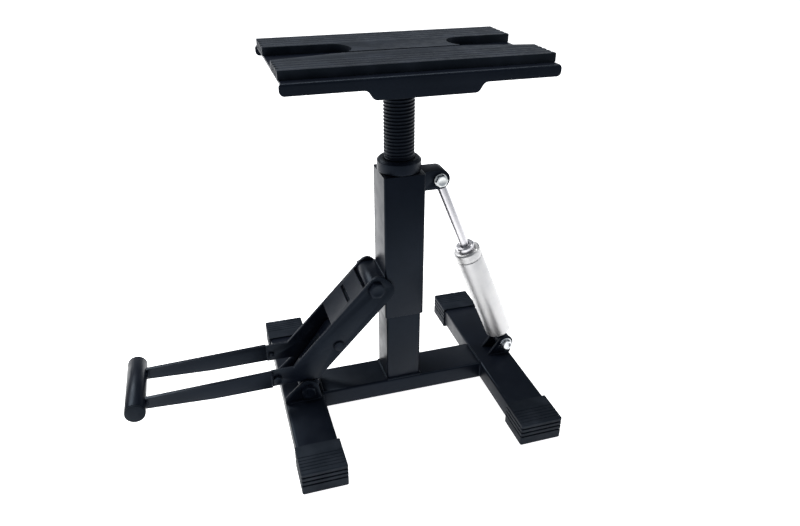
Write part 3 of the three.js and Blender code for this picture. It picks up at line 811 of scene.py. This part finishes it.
def weld_sleeve():
    boss_low, boss_high = low("lever_pivot_boss"), high("lever_pivot_boss")
    y0, y1 = boss_low.y + 1 * MM, boss_high.y - 1 * MM
    for label, z in (("upper", boss_high.z), ("lower", boss_low.z)):
        bead(f"weld_boss_{label}", [(boss_high.x, y0, z), (boss_high.x, y1, z)], THICK_BEAD, "sleeve")
    corner, opposite = low("damper_upper_bracket"), high("damper_upper_bracket")
    bead("weld_bracket", [
        (corner.x, corner.y, corner.z), (corner.x, corner.y, opposite.z),
        (corner.x, opposite.y, opposite.z), (corner.x, opposite.y, corner.z),
    ], THIN_BEAD, "sleeve")


def weld_side(label, side):
    """The welds that each side of the stand has: ear, damper lug, pedal arm and foot bar."""
    for name, kind, start, trim in (("weld_ear", "pivot_ear", 2, 1), ("weld_lug", "damper_foot_lug", 1, 4)):
        node = f"{kind}_{label}"
        y = outer_face(node, side)
        x0, x1 = low(node).x + start * MM, high(node).x - trim * MM
        bead(f"{name}_{label}", [(x0, y, DECK), (x1, y, DECK)], THIN_BEAD, "base")
    arm = f"pedal_arm_{label}"
    outer = outer_face(arm, side)
    middle = (outer + high("lever_channel").y * side) / 2
    bead(f"weld_arm_{label}", [(high(arm).x, middle, z) for z in HEEL_WELD], THICK_BEAD, "lever")
    bar_edge = high("foot_bar").x
    for name, y in (("outer", outer), ("inner", outer - side * 5 * MM)):
        bead(f"weld_bar_{label}_{name}", [(bar_edge, y, BAR_WELD[0]), (bar_edge + 1 * MM, y, BAR_WELD[1])],
             THIN_BEAD, "lever")


def build_welds():
    weld_base()
    weld_sleeve()
    for label, side in SIDES:
        weld_side(label, side)
    disc = high("mount_disc")
    bead("weld_disc", circle_path(AXIS_X, 0, disc.z, disc.x - AXIS_X), THICK_BEAD, "platform", closed=True)


# ---- plain bevelled pieces ----------------------------------------------------------------
BEVELS = {
    0.4 * MM: (
        "left_foot_tube", "right_foot_tube", "cross_beam", "inner_post", "outer_sleeve",
    ),
    0.6 * MM: (
        "lever_channel", "pedal_arm_near", "pedal_arm_far", "pivot_ear_near", "pivot_ear_far",
        "damper_foot_lug_near", "damper_foot_lug_far", "damper_upper_bracket",
    ),
    0.5 * MM: (
        "sleeve_nut_block", "lever_pivot_boss", "mount_disc", "toggle_link", "stop_pin_near",
        "stop_pin_far", "link_pin_near", "link_pin_far", "foot_bar", "damper_lower_eye",
        "damper_rod_eye", "damper_piston", "lower_eye_bush", "upper_eye_bush", "link_bush",
        "arm_bolt_near", "arm_bolt_far",
    ),
}


def build_bevelled():
    for width, nodes in BEVELS.items():
        for node in nodes:
            bevelled(node, width, 2)
    for node in ("foot_bar_plug_near", "foot_bar_plug_far"):
        bevelled(node, 1 * MM, 3)


# ---- studio -------------------------------------------------------------------------------
def build_floor():
    """Pale floor that glows softly behind the stand, like a lit white sweep."""
    mesh = bpy.data.meshes.new("floor")
    reach = 14
    corners = [(-reach, -reach, 0), (reach, -reach, 0), (reach, reach, 0), (-reach, reach, 0)]
    mesh.from_pydata(corners, [], [(0, 1, 2, 3)])
    floor = bpy.data.objects.new("floor", mesh)
    bpy.context.scene.collection.objects.link(floor)
    material, tree, shader = new_material("studio_floor")
    shader.inputs["Roughness"].default_value = 0.9
    tint = blended(tree, ranged(tree, noise(tree, 3, 3), 0, 1), (0.86, 0.86, 0.86), (0.88, 0.88, 0.88))
    tree.links.new(tint, shader.inputs["Base Color"])
    coords = tree.nodes.new("ShaderNodeTexCoord")
    split = tree.nodes.new("ShaderNodeSeparateXYZ")
    tree.links.new(coords.outputs["Object"], split.inputs["Vector"])
    glow = ranged(tree, split.outputs["Y"], FRONT_GLOW, BACK_GLOW, -0.6, -0.2)
    shader.inputs["Emission Color"].default_value = (1, 0.995, 1, 1)
    tree.links.new(glow, shader.inputs["Emission Strength"])
    mesh.materials.append(material)


def area_light(name, place, target, size, power):
    data = bpy.data.lights.new(name, "AREA")
    data.shape = "RECTANGLE"
    data.size, data.size_y = size
    data.energy = power
    light = bpy.data.objects.new(name, data)
    light.location = place
    direction = Vector(target) - Vector(place)
    light.rotation_euler = direction.to_track_quat("-Z", "Y").to_euler()
    bpy.context.scene.collection.objects.link(light)


def build_sky():
    """A plain sky, palest near the horizon."""
    world = bpy.data.worlds.new("studio")
    world.use_nodes = True
    tree = world.node_tree
    background = tree.nodes["Background"]
    background.inputs["Color"].default_value = (0.86, 0.92, 1, 1)
    coords = tree.nodes.new("ShaderNodeTexCoord")
    split = tree.nodes.new("ShaderNodeSeparateXYZ")
    tree.links.new(coords.outputs["Generated"], split.inputs["Vector"])
    sweep = ranged(tree, split.outputs["Z"], HORIZON_GLOW, SKY_GLOW, 0.1, 0.4)
    tree.links.new(sweep, background.inputs["Strength"])
    bpy.context.scene.world = world


def build_studio():
    build_floor()
    build_sky()
    area_light("key_back_left", (-0.9, 1.1, 1.7), (-0.25, 0.7, 0.0), (1.2, 1.2), 42)
    area_light("overhead_strip", (0.1, 0.05, 1.7), (0.1, 0.0, 0.0), (1.8, 0.4), 18)
    area_light("fill_right", (1.5, -0.5, 1.3), (0.1, 0, 0.2), (0.9, 0.9), 5)
    bpy.context.scene.view_settings.view_transform = "Standard"


def build_camera():
    data = bpy.data.cameras.new("camera")
    data.sensor_width = 36
    data.lens = LENS
    data.clip_start = 0.05
    data.clip_end = 60
    camera = bpy.data.objects.new("camera", data)
    yaw, pitch, roll = (math.radians(a) for a in AIM_DEGREES)
    turn = Matrix.Rotation(-yaw, 4, "Z") @ Matrix.Rotation(math.pi / 2 - pitch, 4, "X")
    camera.matrix_world = Matrix.Translation(EYE) @ turn @ Matrix.Rotation(roll, 4, "Z")
    bpy.context.scene.collection.objects.link(camera)
    bpy.context.scene.camera = camera


build_bevelled()
build_screw()
build_platform_plate()
build_pad()
for cap_name, cap_side in SIDES:
    build_foot_cap(f"foot_cap_left_{cap_name}", cap_side)
    build_foot_cap(f"foot_cap_right_{cap_name}", cap_side)
build_fasteners()
build_damper()
build_welds()
build_studio()
build_camera()
